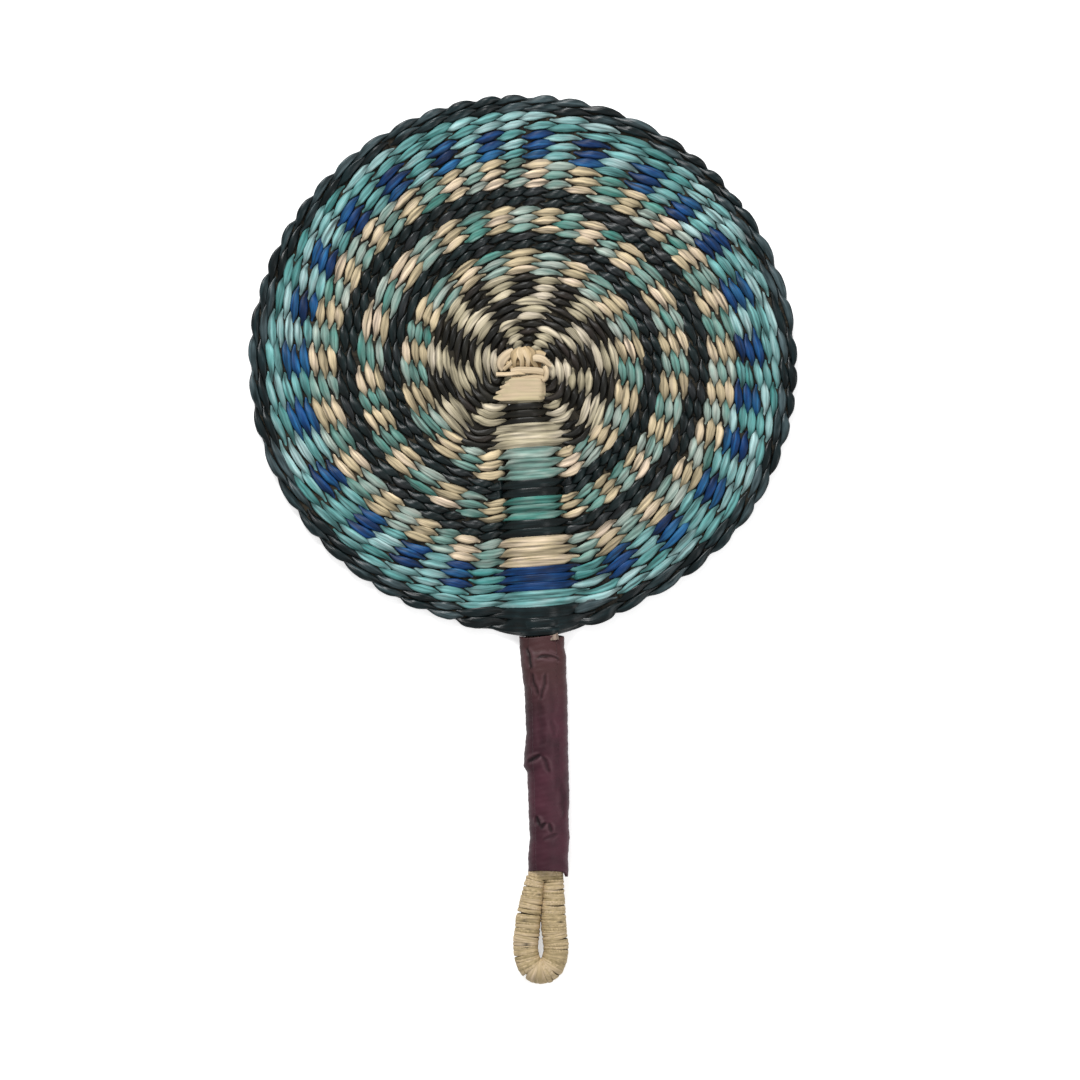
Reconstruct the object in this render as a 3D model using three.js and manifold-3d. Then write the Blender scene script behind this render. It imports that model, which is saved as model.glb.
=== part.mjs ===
// A round straw hand fan. Strands are woven in coloured bands over radial stakes, on a straw handle with
// a leather sleeve and a bound hanging loop. Millimetres, +Z up. The fan lies on its back: the origin is
// the centre of the blade on the plane that it rests on, and +Y runs from the loop to the blade's top.
import * as THREE from "three";
import { mergeVertices } from "three/addons/utils/BufferGeometryUtils.js";
import Module from "manifold-3d";

const wasm = await Module();
wasm.setup();

// Clearance between pieces that touch.
const GAP = 0.3;

// Weave. Each row is a pair of strands that pass the stakes in turn, one in front and one behind.
const HUB_RADIUS = 6.2; // pile of crossed stakes at the centre
const HUB_RISE = 1.1; // of the hub over the stakes
const WEAVE_START = 11.7; // inner edge of the first row
const STRAND_THICK = 1.4;
const STAKE_WIDTH = 1.6;
const STAKE_THICK = 1.6;
const STAKE_ROOM = 1.1; // between a stake and the strand that passes it
const SIDE_ROOM = 7; // between the handle bundle and the stake next to it
const FRONT_SPREAD = 1.5; // width of a strand over a stake, against its width between stakes
const PLAIN_SAG = 0.4; // between a plain row's straight side and its circle
const END_SHARE = 0.75; // where a strand ends between its last stake and the handle
const FORK_SHARE = 0.6; // size of a stake where it leaves another, against its full size

// Distance from row to row, which differs with the straw that each part of the blade is made of.
const CHECK_PITCH = 3.6;
const INNER_PITCH = 4;
const MIDDLE_PITCH = 4.2;
const OUTER_PITCH = 4.4;
const AQUA_PITCH = 4.1;
const RIM_PITCH = 3.6;

// The bands from the centre out. The strand "over" passes in front of the handle, "under" behind it.
// Where the stakes fork, the band has no columns: one strand runs in front of them and one behind.
const BANDS = [
  { name: "centre_check", rows: 4, pitch: CHECK_PITCH, columns: 12, over: "natural", under: "black" },
  { name: "check_turn", rows: 2, pitch: CHECK_PITCH, columns: 0, over: "black", under: "natural" },
  { name: "outer_check", rows: 3, pitch: CHECK_PITCH, columns: 26, over: "natural", under: "black" },
  { name: "inner_band", rows: 3, pitch: INNER_PITCH, columns: 26, over: "aqua", under: "cream" },
  { name: "inner_ring", rows: 2, pitch: INNER_PITCH, columns: 0, over: "black", under: "black" },
  { name: "middle_band", rows: 3, pitch: MIDDLE_PITCH, columns: 38, over: "aqua", under: "cream" },
  { name: "outer_ring", rows: 2, pitch: OUTER_PITCH, columns: 0, over: "black", under: "black" },
  { name: "cream_band", rows: 3, pitch: OUTER_PITCH, columns: 50, over: "cream", under: "aqua" },
  { name: "blue_band", rows: 3, pitch: OUTER_PITCH, columns: 50, over: "blue", under: "aqua" },
  { name: "aqua_band", rows: 2, pitch: AQUA_PITCH, columns: 50, over: "aqua", under: "aqua" },
  { name: "rim", rows: 2, pitch: RIM_PITCH, columns: 50, over: "black", under: "black" },
];

// Handle bundle inside the blade, a flat bottomed heap of straw that starts at the hub.
const CORE_TIP_HALF = 4.5;
const CORE_TIP_HEIGHT = 4.4;
const CORE_HALF = 10.5;
const CORE_HEIGHT = 8.7;
const CORE_NECK_HALF = 7.4; // where the bundle leaves the blade
const CORE_FULL = 42; // from the centre to where the bundle has its full section
const CORE_BELLY = 0.3; // height of the widest part, as a share of the bundle's height
const CORE_SHOULDER = 0.62; // where a strand leaves the bundle, as a share of its half width

// Grip. The bundle bends a little at the rim and goes on inside the leather.
const GRIP_LEAN = THREE.MathUtils.degToRad(2.8);
const GRIP_TOP_WIDTH = 18.6;
const GRIP_WIDTH = 16.6;
const GRIP_DEPTH = 12.2;
const GRIP_FLARE = 24; // length over which the grip narrows
const SLEEVE_WALL = 1.1;
const SLEEVE_LENGTH = 109;
const SLEEVE_LAP = 8; // of the sheet over its own edge

// Hanging loop, a bent bundle whose tails lie beside the end of the handle bundle.
const LOOP_TAIL = 20;
const TAIL_RADIUS = 2.9;
const NECK_RADIUS = 3.2;
const LOOP_RADIUS = 3.9;
const TONGUE_HALF = 1.3; // end of the handle bundle between the tails
const NECK_LENGTH = 6.6;
const LOOP_LENGTH = 53;
const SPLIT_LENGTH = 5; // from the whipping to where the legs part
const LEG_STRAIGHT = 10; // of each leg above the bend
const SWELL_LENGTH = 25; // over which the loop's bundle reaches its full radius
const LOOP_LEFT = 12.5; // from the grip's axis to the middle of the left leg
const LOOP_RIGHT = 3.5;
const BINDING_TURNS = 24;
const BINDING_THICK = 1.1;
const BINDING_GAP = 0.7; // between two turns
const WHIPPING_TURNS = 3;

// Centre knot.
const KNOT_WIDTH = 22;
const KNOT_LENGTH = 11;
const KNOT_OFFSET = 1.5; // from the blade's centre towards its top
const KNOT_RISE = 4;

const COLOURS = {
  natural: 0xbfb88f,
  cream: 0xd6c297,
  aqua: 0x79ab9c,
  blue: 0x163f8f,
  black: 0x1f1f23,
  straw: 0xc6b486,
  leather: 0x50343a,
  raffia: 0xb9a477,
};

// Levels of the weave above the plane that the fan lies on.
const STAKE_BOTTOM = STRAND_THICK + STAKE_ROOM;
const STAKE_TOP = STAKE_BOTTOM + STAKE_THICK;
const FRONT_LEVEL = STAKE_TOP + STAKE_ROOM;
const CORE_BOTTOM = STRAND_THICK + GAP;
const GRIP_MID = SLEEVE_WALL + GAP + GRIP_DEPTH / 2;

const fan = new THREE.Group();
fan.name = "straw_fan";

// Adds a named piece to a group.
function addPiece(group, name, geometry, colour, roughness) {
  const material = new THREE.MeshStandardMaterial({ color: COLOURS[colour], roughness, metalness: 0 });
  const mesh = new THREE.Mesh(geometry, material);
  mesh.name = name;
  group.add(mesh);
  return mesh;
}

// A closed body from rings of points with the same count. The ends are flat, cut by the outline in 2D.
function skin(rings, outline) {
  const count = rings[0].length;
  const positions = rings.flat().flatMap((p) => [p.x, p.y, p.z]);
  const index = [];
  for (let i = 0; i + 1 < rings.length; i++) {
    for (let k = 0; k < count; k++) {
      const a = i * count + k;
      const b = i * count + ((k + 1) % count);
      index.push(a, b, b + count, a, b + count, a + count);
    }
  }
  const last = (rings.length - 1) * count;
  for (const [a, b, c] of THREE.ShapeUtils.triangulateShape(outline, [])) {
    index.push(c, b, a);
    index.push(last + a, last + b, last + c);
  }
  const geometry = new THREE.BufferGeometry();
  geometry.setAttribute("position", new THREE.Float32BufferAttribute(positions, 3));
  geometry.setIndex(index);
  return geometry;
}

// A straw with three sides along a list of stations: a point, the direction across, width and thickness.
function straw(stations) {
  const outline = [new THREE.Vector2(-1, 0), new THREE.Vector2(1, 0), new THREE.Vector2(0, 1)];
  const rings = stations.map(({ point, across, width, thick }) => [
    point.clone().addScaledVector(across, -width / 2),
    point.clone().addScaledVector(across, width / 2),
    point.clone().add(new THREE.Vector3(0, 0, thick)),
  ]);
  return skin(rings, outline);
}

// A point at a radius and an angle, which runs clockwise from the handle as seen from the front.
function polar(radius, angle, z) {
  return new THREE.Vector3(-radius * Math.sin(angle), -radius * Math.cos(angle), z);
}

// Sizes of the handle bundle at a distance from the blade's centre.
const coreStart = HUB_RADIUS + GAP;
function coreAt(distance) {
  const share = THREE.MathUtils.smoothstep(distance, coreStart, CORE_FULL);
  const half = THREE.MathUtils.lerp(CORE_TIP_HALF, CORE_HALF, share);
  const height = THREE.MathUtils.lerp(CORE_TIP_HEIGHT, CORE_HEIGHT, share);
  return { half, height, top: CORE_BOTTOM + height };
}

// Rows of each band, and the angle of the stakes that it is woven over.
let radius = WEAVE_START;
for (const band of BANDS) {
  band.inner = radius;
  band.first = radius + band.pitch / 2;
  radius += band.rows * band.pitch;
  band.outer = radius;
}
const bladeRadius = radius;

// Zones of stakes between two plain bands. Each starts where the one before it ends.
const zones = [];
for (const band of BANDS) {
  const zone = zones[zones.length - 1];
  if (band.columns === 0) continue;
  if (zone && zone.columns === band.columns) {
    zone.outer = band.outer;
  } else {
    const beside = coreAt(band.first).half + SIDE_ROOM;
    const start = Math.asin(Math.min(beside / band.first, 0.95));
    const step = (2 * Math.PI - 2 * start) / (band.columns - 2);
    zones.push({ columns: band.columns, inner: band.inner, outer: band.outer, start, step });
  }
}
for (const band of BANDS) {
  const inside = zones.filter((zone) => zone.inner <= band.inner + GAP);
  band.zone = inside[inside.length - 1];
}

// One strand of a band. It starts at the right of the handle and goes round clockwise, and it steps out
// to the next row while it crosses the handle.
function strandStations(band, over) {
  const crossing = band.pitch / 2 - GAP;
  const frontWidth = crossing * FRONT_SPREAD;
  const backWidth = 2 * crossing - frontWidth;
  const side = over ? 1 : -1;
  const plain = band.columns === 0;
  const plainFront = band.pitch - GAP - PLAIN_SAG;
  const plainBack = plainFront - GAP - backWidth;
  const stations = [];

  function push(angle, row, front) {
    let shift = front ? 0 : (side * band.pitch) / 2;
    if (plain) shift = PLAIN_SAG / 2;
    let width = front ? frontWidth : backWidth;
    if (plain) width = front ? plainFront : plainBack;
    const point = polar(row + shift, angle, front ? FRONT_LEVEL : 0);
    stations.push({ point, across: polar(1, angle, 0), width, thick: STRAND_THICK });
  }

  function cross(row, sideSign) {
    const shift = over || plain ? 0 : (side * band.pitch) / 2;
    const core = coreAt(row);
    const x = sideSign * core.half * CORE_SHOULDER;
    const y = -Math.sqrt((row + shift) ** 2 - x ** 2);
    const z = over ? coreAt(-y + band.pitch).top + GAP : 0;
    let width = over ? frontWidth : backWidth;
    if (plain) width = over ? plainFront : plainBack;
    const across = new THREE.Vector3(0, -1, 0);
    stations.push({ point: new THREE.Vector3(x, y, z), across, width, thick: STRAND_THICK });
  }

  const zone = band.zone;
  const sides = Math.ceil(Math.PI / Math.acos(1 - PLAIN_SAG / band.outer));
  const count = plain ? sides : band.columns - 1;
  const step = plain ? (2 * Math.PI - 2 * zone.start) / (count - 1) : zone.step;
  for (let row = 0; row < band.rows; row++) {
    const rowRadius = band.first + row * band.pitch;
    cross(rowRadius - band.pitch, 1);
    cross(rowRadius, -1);
    for (let k = 1; k <= count; k++) {
      const front = plain ? over : (k % 2 === 0) === over;
      push(zone.start + (k - 1) * step, rowRadius, front);
    }
  }
  const last = stations[stations.length - 1];
  cross(band.first + (band.rows - 1) * band.pitch, 1);
  const end = stations[stations.length - 1];
  end.point.lerp(last.point, 1 - END_SHARE);
  end.across.lerp(last.across, 1 - END_SHARE).normalize();
  end.width = THREE.MathUtils.lerp(last.width, end.width, END_SHARE);
  return stations;
}

for (const band of BANDS) {
  const overStraw = straw(strandStations(band, true));
  const underStraw = straw(strandStations(band, false));
  addPiece(fan, `${band.name}_over_strand`, overStraw, band.over, 0.75);
  addPiece(fan, `${band.name}_under_strand`, underStraw, band.under, 0.75);
}

// Solids for joining.
function toSolid(geometry) {
  const bare = new THREE.BufferGeometry();
  bare.setAttribute("position", geometry.getAttribute("position"));
  bare.setIndex(geometry.index);
  const merged = mergeVertices(bare, 1e-4);
  const vertProperties = merged.attributes.position.array;
  const triVerts = new Uint32Array(merged.index.array);
  return new wasm.Manifold(new wasm.Mesh({ numProp: 3, vertProperties, triVerts }));
}

function fromSolid(solid) {
  const mesh = solid.getMesh();
  const geometry = new THREE.BufferGeometry();
  geometry.setAttribute("position", new THREE.BufferAttribute(mesh.vertProperties, 3));
  geometry.setIndex(new THREE.BufferAttribute(mesh.triVerts, 1));
  return geometry;
}

// A stake along a list of points. A stake that forks off starts slim, inside the one that it leaves.
function stake(points, forked) {
  const stations = points.map((point, i) => {
    const before = points[Math.max(i - 1, 0)];
    const after = points[Math.min(i + 1, points.length - 1)];
    const along = after.clone().sub(before).normalize();
    const slim = forked && i === 0 ? FORK_SHARE : 1;
    const lift = new THREE.Vector3(0, 0, ((1 - slim) * STAKE_THICK) / 4);
    return {
      point: point.clone().add(lift),
      across: new THREE.Vector3(-along.y, along.x, 0),
      width: STAKE_WIDTH * slim,
      thick: STAKE_THICK * slim,
    };
  });
  return straw(stations);
}

const hubHeight = STAKE_TOP + HUB_RISE;
const hubProfile = [
  new THREE.Vector2(0, 0),
  new THREE.Vector2(HUB_RADIUS - HUB_RISE, 0),
  new THREE.Vector2(HUB_RADIUS, HUB_RISE),
  new THREE.Vector2(HUB_RADIUS, hubHeight - HUB_RISE),
  new THREE.Vector2(HUB_RADIUS - HUB_RISE, hubHeight),
  new THREE.Vector2(0, hubHeight),
];
const stakeSolids = [toSolid(new THREE.LatheGeometry(hubProfile, 18).rotateX(Math.PI / 2))];
let routes = [];
const allRoutes = [];
zones.forEach((zone, i) => {
  const parent = zones[i - 1];
  const end = i === zones.length - 1 ? zone.outer - GAP : zone.outer + STAKE_WIDTH / 2;
  const next = [];
  for (let k = 0; k < zone.columns - 1; k++) {
    const angle = zone.start + k * zone.step;
    let route = { points: [polar(HUB_RADIUS / 2, angle, STAKE_BOTTOM)], forked: false };
    if (parent) {
      const from = Math.round((k / (zone.columns - 2)) * (parent.columns - 2));
      const fork = polar(parent.outer, parent.start + from * parent.step, STAKE_BOTTOM);
      route = routes[from].taken ? { points: [fork], forked: true } : routes[from];
      routes[from].taken = true;
      route.points.push(polar(zone.inner - STAKE_WIDTH / 2, angle, STAKE_BOTTOM));
    }
    route.points.push(polar(end, angle, STAKE_BOTTOM));
    if (!allRoutes.includes(route)) allRoutes.push(route);
    next.push(route);
  }
  next.forEach((route) => (route.taken = false));
  routes = next;
});
for (const { points, forked } of allRoutes) stakeSolids.push(toSolid(stake(points, forked)));
addPiece(fan, "warp_stakes", fromSolid(wasm.Manifold.union(stakeSolids)), "straw", 0.8);

// Half outline of a bundle: a rounded form whose widest part lies at a share of its height.
const BUNDLE_SIDES = 16;
function bundleRing(half, height, belly) {
  const ring = [];
  for (let i = 0; i < BUNDLE_SIDES; i++) {
    const angle = ((i + 0.5) / BUNDLE_SIDES) * 2 * Math.PI;
    const rise = Math.sin(angle) > 0 ? height * (1 - belly) : height * belly;
    ring.push(new THREE.Vector2(half * Math.cos(angle), height * belly + rise * Math.sin(angle)));
  }
  return ring;
}

// Handle group: its -Y axis is the axis of the grip, from the outside of the rim down.
const gripStart = bladeRadius + GAP;
const handle = new THREE.Group();
handle.position.set(0, -gripStart, 0);
handle.rotation.z = -GRIP_LEAN;
handle.updateMatrix();
fan.add(handle);

// Half width of the grip's bundle at a distance below the rim.
function gripHalf(distance) {
  const share = THREE.MathUtils.clamp(distance / GRIP_FLARE, 0, 1);
  return THREE.MathUtils.lerp(GRIP_TOP_WIDTH, GRIP_WIDTH, share) / 2;
}

// Handle bundle, from the hub to the tongue between the tails of the loop.
const coreRings = [];
function addCoreRing(distance, half, height, bottom, belly) {
  const ring = bundleRing(half, height, belly).map((p) => new THREE.Vector3(p.x, -distance, bottom + p.y));
  coreRings.push(ring);
}
for (let i = 0; i <= 4; i++) {
  const distance = THREE.MathUtils.lerp(coreStart, CORE_FULL, i / 4);
  const { half, height } = coreAt(distance);
  addCoreRing(distance, half, height, CORE_BOTTOM, CORE_BELLY);
}
addCoreRing(bladeRadius - CORE_HEIGHT, CORE_HALF, CORE_HEIGHT, CORE_BOTTOM, CORE_BELLY);
addCoreRing(bladeRadius, CORE_NECK_HALF, CORE_HEIGHT, CORE_BOTTOM, CORE_BELLY);
const gripBottom = SLEEVE_WALL + GAP;
const tongueEnd = SLEEVE_LENGTH - LOOP_TAIL / 2;
const tongueStart = SLEEVE_LENGTH - LOOP_TAIL - GAP;
const gripStations = [
  [GRIP_FLARE / 4, gripHalf(GRIP_FLARE / 4)],
  [GRIP_FLARE, gripHalf(GRIP_FLARE)],
  [tongueStart - 2 * TAIL_RADIUS, gripHalf(tongueStart)],
  [tongueStart, TONGUE_HALF],
  [tongueEnd, TONGUE_HALF],
];
for (const [distance, half] of gripStations) {
  addCoreRing(distance, half, GRIP_DEPTH, gripBottom, 0.5);
  const ring = coreRings[coreRings.length - 1];
  ring.forEach((p) => p.applyMatrix4(handle.matrix));
}
addPiece(fan, "handle_core", skin(coreRings, bundleRing(1, 1, 0.5)), "straw", 0.8);

// Leather sleeve: one sheet round the bundle, lapped over its own edge on the front.
const LAP_STEPS = 28;
function sleeveOutline(half) {
  const halfDepth = GRIP_DEPTH / 2;
  const lapAngle = SLEEVE_LAP / halfDepth;
  const from = Math.PI / 2 - lapAngle / 2;
  const outside = [];
  const inside = [];
  for (let i = 0; i <= LAP_STEPS; i++) {
    const angle = from + (i / LAP_STEPS) * (2 * Math.PI + lapAngle);
    const lift = THREE.MathUtils.smoothstep(angle, from + 2 * Math.PI - lapAngle, from + 2 * Math.PI);
    const off = GAP + lift * (SLEEVE_WALL + GAP);
    const unit = new THREE.Vector2(Math.cos(angle), Math.sin(angle));
    inside.push(new THREE.Vector2((half + off) * unit.x, (halfDepth + off) * unit.y));
    const wide = off + SLEEVE_WALL;
    outside.push(new THREE.Vector2((half + wide) * unit.x, (halfDepth + wide) * unit.y));
  }
  return outside.concat(inside.reverse());
}
const sleeveRings = [0, GRIP_FLARE, SLEEVE_LENGTH].map((distance) =>
  sleeveOutline(gripHalf(distance)).map((p) => new THREE.Vector3(p.x, -distance, GRIP_MID + p.y)),
);
const sleeveGeometry = skin(sleeveRings, sleeveOutline(GRIP_WIDTH / 2));
addPiece(handle, "leather_sleeve", sleeveGeometry, "leather", 0.55);

// Radius of the loop's bundle at a height above or below the end of the sleeve.
function loopRadius(y) {
  if (y > 0) return THREE.MathUtils.lerp(NECK_RADIUS, TAIL_RADIUS, y / LOOP_TAIL);
  return THREE.MathUtils.lerp(NECK_RADIUS, LOOP_RADIUS, THREE.MathUtils.clamp(-y / SWELL_LENGTH, 0, 1));
}

// Hanging loop in its own group, with its origin at the end of the sleeve on the grip's axis.
const loop = new THREE.Group();
loop.position.set(0, -SLEEVE_LENGTH, GRIP_MID);
handle.add(loop);
const tailX = TONGUE_HALF + GAP + TAIL_RADIUS;
const neckX = NECK_RADIUS + GAP;
const outerWrap = BINDING_THICK + 2 * GAP;
const loopBottom = -(LOOP_LENGTH - LOOP_RADIUS - outerWrap);
const splitY = -NECK_LENGTH - SPLIT_LENGTH;
const splitX = loopRadius(splitY) + outerWrap + GAP;
const neckMiddle = (LOOP_RIGHT - LOOP_LEFT) / 4;
const bottomX = (LOOP_RIGHT - LOOP_LEFT) / 2;
const loopHalf = (LOOP_RIGHT + LOOP_LEFT) / 2;
const cornerX = loopHalf * Math.SQRT1_2;
const loopPath = new THREE.CatmullRomCurve3(
  [
    [-tailX, LOOP_TAIL],
    [-tailX, LOOP_TAIL / 2],
    [-neckX, 0],
    [-neckX, BINDING_THICK - NECK_LENGTH],
    [neckMiddle - splitX, splitY],
    [-LOOP_LEFT, loopBottom + loopHalf + LEG_STRAIGHT],
    [-LOOP_LEFT, loopBottom + loopHalf],
    [bottomX - cornerX, loopBottom + loopHalf - cornerX],
    [bottomX, loopBottom],
    [bottomX + cornerX, loopBottom + loopHalf - cornerX],
    [LOOP_RIGHT, loopBottom + loopHalf],
    [LOOP_RIGHT, loopBottom + loopHalf + LEG_STRAIGHT],
    [neckMiddle + splitX, splitY],
    [neckX, BINDING_THICK - NECK_LENGTH],
    [neckX, 0],
    [tailX, LOOP_TAIL / 2],
    [tailX, LOOP_TAIL],
  ].map(([x, y]) => new THREE.Vector3(x, y, 0)),
);
loopPath.arcLengthDivisions = 400;

const LOOP_STEPS = 36;
const LOOP_SIDES = 8;
const loopRings = [];
for (let i = 0; i <= LOOP_STEPS; i++) {
  const point = loopPath.getPointAt(i / LOOP_STEPS);
  const along = loopPath.getTangentAt(i / LOOP_STEPS);
  const out = new THREE.Vector3(-along.y, along.x, 0);
  const ring = [];
  for (let k = 0; k < LOOP_SIDES; k++) {
    const angle = (k / LOOP_SIDES) * 2 * Math.PI;
    const size = loopRadius(point.y);
    const spot = point.clone().addScaledVector(out, size * Math.cos(angle));
    ring.push(spot.add(new THREE.Vector3(0, 0, size * Math.sin(angle))));
  }
  loopRings.push(ring);
}
const loopOutline = [];
for (let k = 0; k < LOOP_SIDES; k++) {
  const angle = (k / LOOP_SIDES) * 2 * Math.PI;
  loopOutline.push(new THREE.Vector2(Math.cos(angle), Math.sin(angle)));
}
addPiece(loop, "loop_core", skin(loopRings, loopOutline), "straw", 0.8);

// A winding: one flat strand along a list of spots, each with a point, its way out and a width.
function winding(spots) {
  const outline = [
    [-0.5, 0],
    [0.5, 0],
    [0.42, 0.65],
    [0, 1],
    [-0.42, 0.65],
  ].map(([x, y]) => new THREE.Vector2(x, y));
  return spots.map(({ point, out, width }, i) => {
    const before = spots[Math.max(i - 1, 0)].point;
    const after = spots[Math.min(i + 1, spots.length - 1)].point;
    const side = new THREE.Vector3().crossVectors(out, after.clone().sub(before)).normalize();
    return outline.map((p) =>
      point.clone().addScaledVector(side, p.x * width).addScaledVector(out, p.y * BINDING_THICK),
    );
  });
}
const windingOutline = [0, 1, 2, 3, 4].map((k) => {
  const angle = (k / 5) * 2 * Math.PI;
  return new THREE.Vector2(Math.cos(angle), Math.sin(angle));
});

// Least gap between points of different turns of a winding.
function leastGap(rings, steps) {
  let least = Infinity;
  for (let i = 0; i < rings.length; i++) {
    for (let j = i + Math.round(steps * 0.7); j < rings.length; j++) {
      if (rings[i][0].distanceTo(rings[j][0]) > 2 * LOOP_RADIUS) continue;
      for (const p of rings[i]) {
        for (const q of rings[j]) least = Math.min(least, p.distanceTo(q));
      }
    }
  }
  return least;
}

// Raffia binding, wound round the loop from one leg to the other.
const BINDING_STEPS = 10; // for one turn
const bindingTop = -NECK_LENGTH - SPLIT_LENGTH * 0.6;
let bindingFrom = 0;
while (loopPath.getPointAt(bindingFrom).y > bindingTop) bindingFrom += 0.001;
let bindingTo = 1;
while (loopPath.getPointAt(bindingTo).y > bindingTop) bindingTo -= 0.001;
function bindingSpot(turn, rise) {
  const share = THREE.MathUtils.clamp(turn / BINDING_TURNS, 0, 1);
  const at = THREE.MathUtils.lerp(bindingFrom, bindingTo, share);
  const centre = loopPath.getPointAt(at);
  const along = loopPath.getTangentAt(at);
  const angle = 2 * Math.PI * turn;
  const out = new THREE.Vector3(-along.y, along.x, 0).multiplyScalar(Math.cos(angle));
  out.z = Math.sin(angle);
  const reach = (loopRadius(centre.y) + GAP) / Math.cos(Math.PI / BINDING_STEPS);
  return { point: centre.addScaledVector(out, reach + rise), out };
}
function turnPitch(turn, rise) {
  const here = bindingSpot(turn, rise).point;
  const others = [turn - 1, turn + 1].filter((other) => other >= 0 && other <= BINDING_TURNS);
  return Math.min(...others.map((other) => here.distanceTo(bindingSpot(other, rise).point)));
}
const bindingSpots = [];
for (let i = 0; i <= BINDING_TURNS * BINDING_STEPS; i++) {
  const turn = i / BINDING_STEPS;
  const spot = bindingSpot(turn, 0);
  const room = Math.min(turnPitch(turn, 0), turnPitch(turn, BINDING_THICK));
  spot.width = Math.max(room - BINDING_GAP, BINDING_GAP / 2);
  bindingSpots.push(spot);
}
const bindingRings = winding(bindingSpots);
console.log(`loop binding: least gap to itself ${leastGap(bindingRings, BINDING_STEPS).toFixed(2)} mm`);
addPiece(loop, "loop_binding", skin(bindingRings, windingOutline), "raffia", 0.8);

// Raffia whipping round both legs, under the end of the sleeve.
const WHIPPING_STEPS = 12; // for one turn
const whippingPitch = (NECK_LENGTH - GAP) / (WHIPPING_TURNS + 1);
const whippingReach = (NECK_RADIUS + 2 * GAP) / Math.cos(Math.PI / WHIPPING_STEPS);
const whippingSpots = [];
for (let i = 0; i <= WHIPPING_TURNS * WHIPPING_STEPS; i++) {
  const angle = ((i + 0.5) / WHIPPING_STEPS) * 2 * Math.PI;
  const out = new THREE.Vector3(Math.cos(angle), 0, Math.sin(angle));
  const y = -GAP - whippingPitch * (0.5 + i / WHIPPING_STEPS);
  const centre = new THREE.Vector3(Math.sign(out.x) * neckX, y, 0);
  const point = centre.addScaledVector(out, whippingReach);
  whippingSpots.push({ point, out, width: whippingPitch - BINDING_GAP });
}
const whippingRings = winding(whippingSpots);
console.log(`neck whipping: least gap to itself ${leastGap(whippingRings, WHIPPING_STEPS).toFixed(2)} mm`);
addPiece(loop, "neck_whipping", skin(whippingRings, windingOutline), "raffia", 0.8);

// Centre knot, a low lump of straw on the hub.
const knotProfile = [new THREE.Vector2(0, 0), new THREE.Vector2(0.86, 0)];
for (let i = 1; i <= 5; i++) {
  const angle = ((i - 0.5) / 4.5) * (Math.PI / 2);
  knotProfile.push(new THREE.Vector2(i === 5 ? 0 : Math.cos(angle), Math.sin(angle)));
}
const knot = new THREE.LatheGeometry(knotProfile, 16).rotateX(Math.PI / 2);
knot.scale(KNOT_WIDTH / 2, KNOT_LENGTH / 2, KNOT_RISE);
const knotMesh = addPiece(fan, "centre_knot", knot, "natural", 0.75);
knotMesh.position.set(0, KNOT_OFFSET, hubHeight + GAP);

export default fan;
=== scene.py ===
# %% [markdown]
# A round hand fan, twined by hand from dyed straw over radial stakes, on a straw handle with a leather
# sleeve and a raffia-bound hanging loop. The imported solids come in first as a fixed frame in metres.
# Every piece below is built in that same frame and stands for one solid, so nothing needs fitting.

# %% Load the frame
import math

import bpy
import numpy as np
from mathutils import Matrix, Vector


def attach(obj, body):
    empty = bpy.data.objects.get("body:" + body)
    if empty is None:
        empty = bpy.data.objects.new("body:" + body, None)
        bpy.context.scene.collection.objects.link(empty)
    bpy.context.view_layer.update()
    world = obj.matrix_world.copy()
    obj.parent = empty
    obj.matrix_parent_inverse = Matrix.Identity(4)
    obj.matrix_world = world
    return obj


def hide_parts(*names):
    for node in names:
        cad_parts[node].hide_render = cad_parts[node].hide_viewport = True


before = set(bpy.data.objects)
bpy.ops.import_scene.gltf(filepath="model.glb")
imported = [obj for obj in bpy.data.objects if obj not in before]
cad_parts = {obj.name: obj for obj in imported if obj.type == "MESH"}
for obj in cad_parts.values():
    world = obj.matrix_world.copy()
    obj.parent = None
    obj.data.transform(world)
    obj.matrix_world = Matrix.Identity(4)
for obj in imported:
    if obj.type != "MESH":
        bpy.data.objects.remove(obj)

MM = 0.001
scene = bpy.context.scene
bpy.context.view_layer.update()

# %% [markdown]
# Nearly everything on the fan is a straw: a long thing with a flat, rounded section that swells and
# narrows. A bevelled curve keeps one section all the way, so it can't do that. Here a Geometry Nodes
# tree sweeps a circle along a line of points, and then moves every vertex by what the line itself
# carries: the way across, the way up, half the width and half the thickness at that point.

# %% Helpers for node trees
def feed(tree, socket, value):
    """Link a socket to another one, or give it a fixed value."""
    if isinstance(value, bpy.types.NodeSocket):
        tree.links.new(value, socket)
    elif value is not None:
        socket.default_value = value


def feed_all(tree, node, **sockets):
    """Feed the sockets of a node by name, with _ for each space."""
    for name, value in sockets.items():
        feed(tree, node.inputs[name.replace("_", " ")], value)
    return node


def add_node(tree, kind, **sockets):
    return feed_all(tree, tree.nodes.new(kind), **sockets)


def add_sockets(tree, in_out, kind, *names):
    for name in names:
        tree.interface.new_socket(name, in_out=in_out, socket_type="NodeSocket" + kind)


def maths(tree, operation, first, second=None):
    node = tree.nodes.new("ShaderNodeMath")
    node.operation = operation
    feed(tree, node.inputs[0], first)
    feed(tree, node.inputs[1], second)
    return node.outputs[0]


def vector_maths(tree, operation, first, second):
    node = tree.nodes.new("ShaderNodeVectorMath")
    node.operation = operation
    names = ("Vector", "Scale") if operation == "SCALE" else (0, 1)
    for name, value in zip(names, (first, second)):
        feed(tree, node.inputs[name], value)
    return node.outputs[0]


def named(tree, name, data_type):
    node = add_node(tree, "GeometryNodeInputNamedAttribute")
    node.data_type = data_type
    node.inputs["Name"].default_value = name
    return node.outputs["Attribute"]


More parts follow.
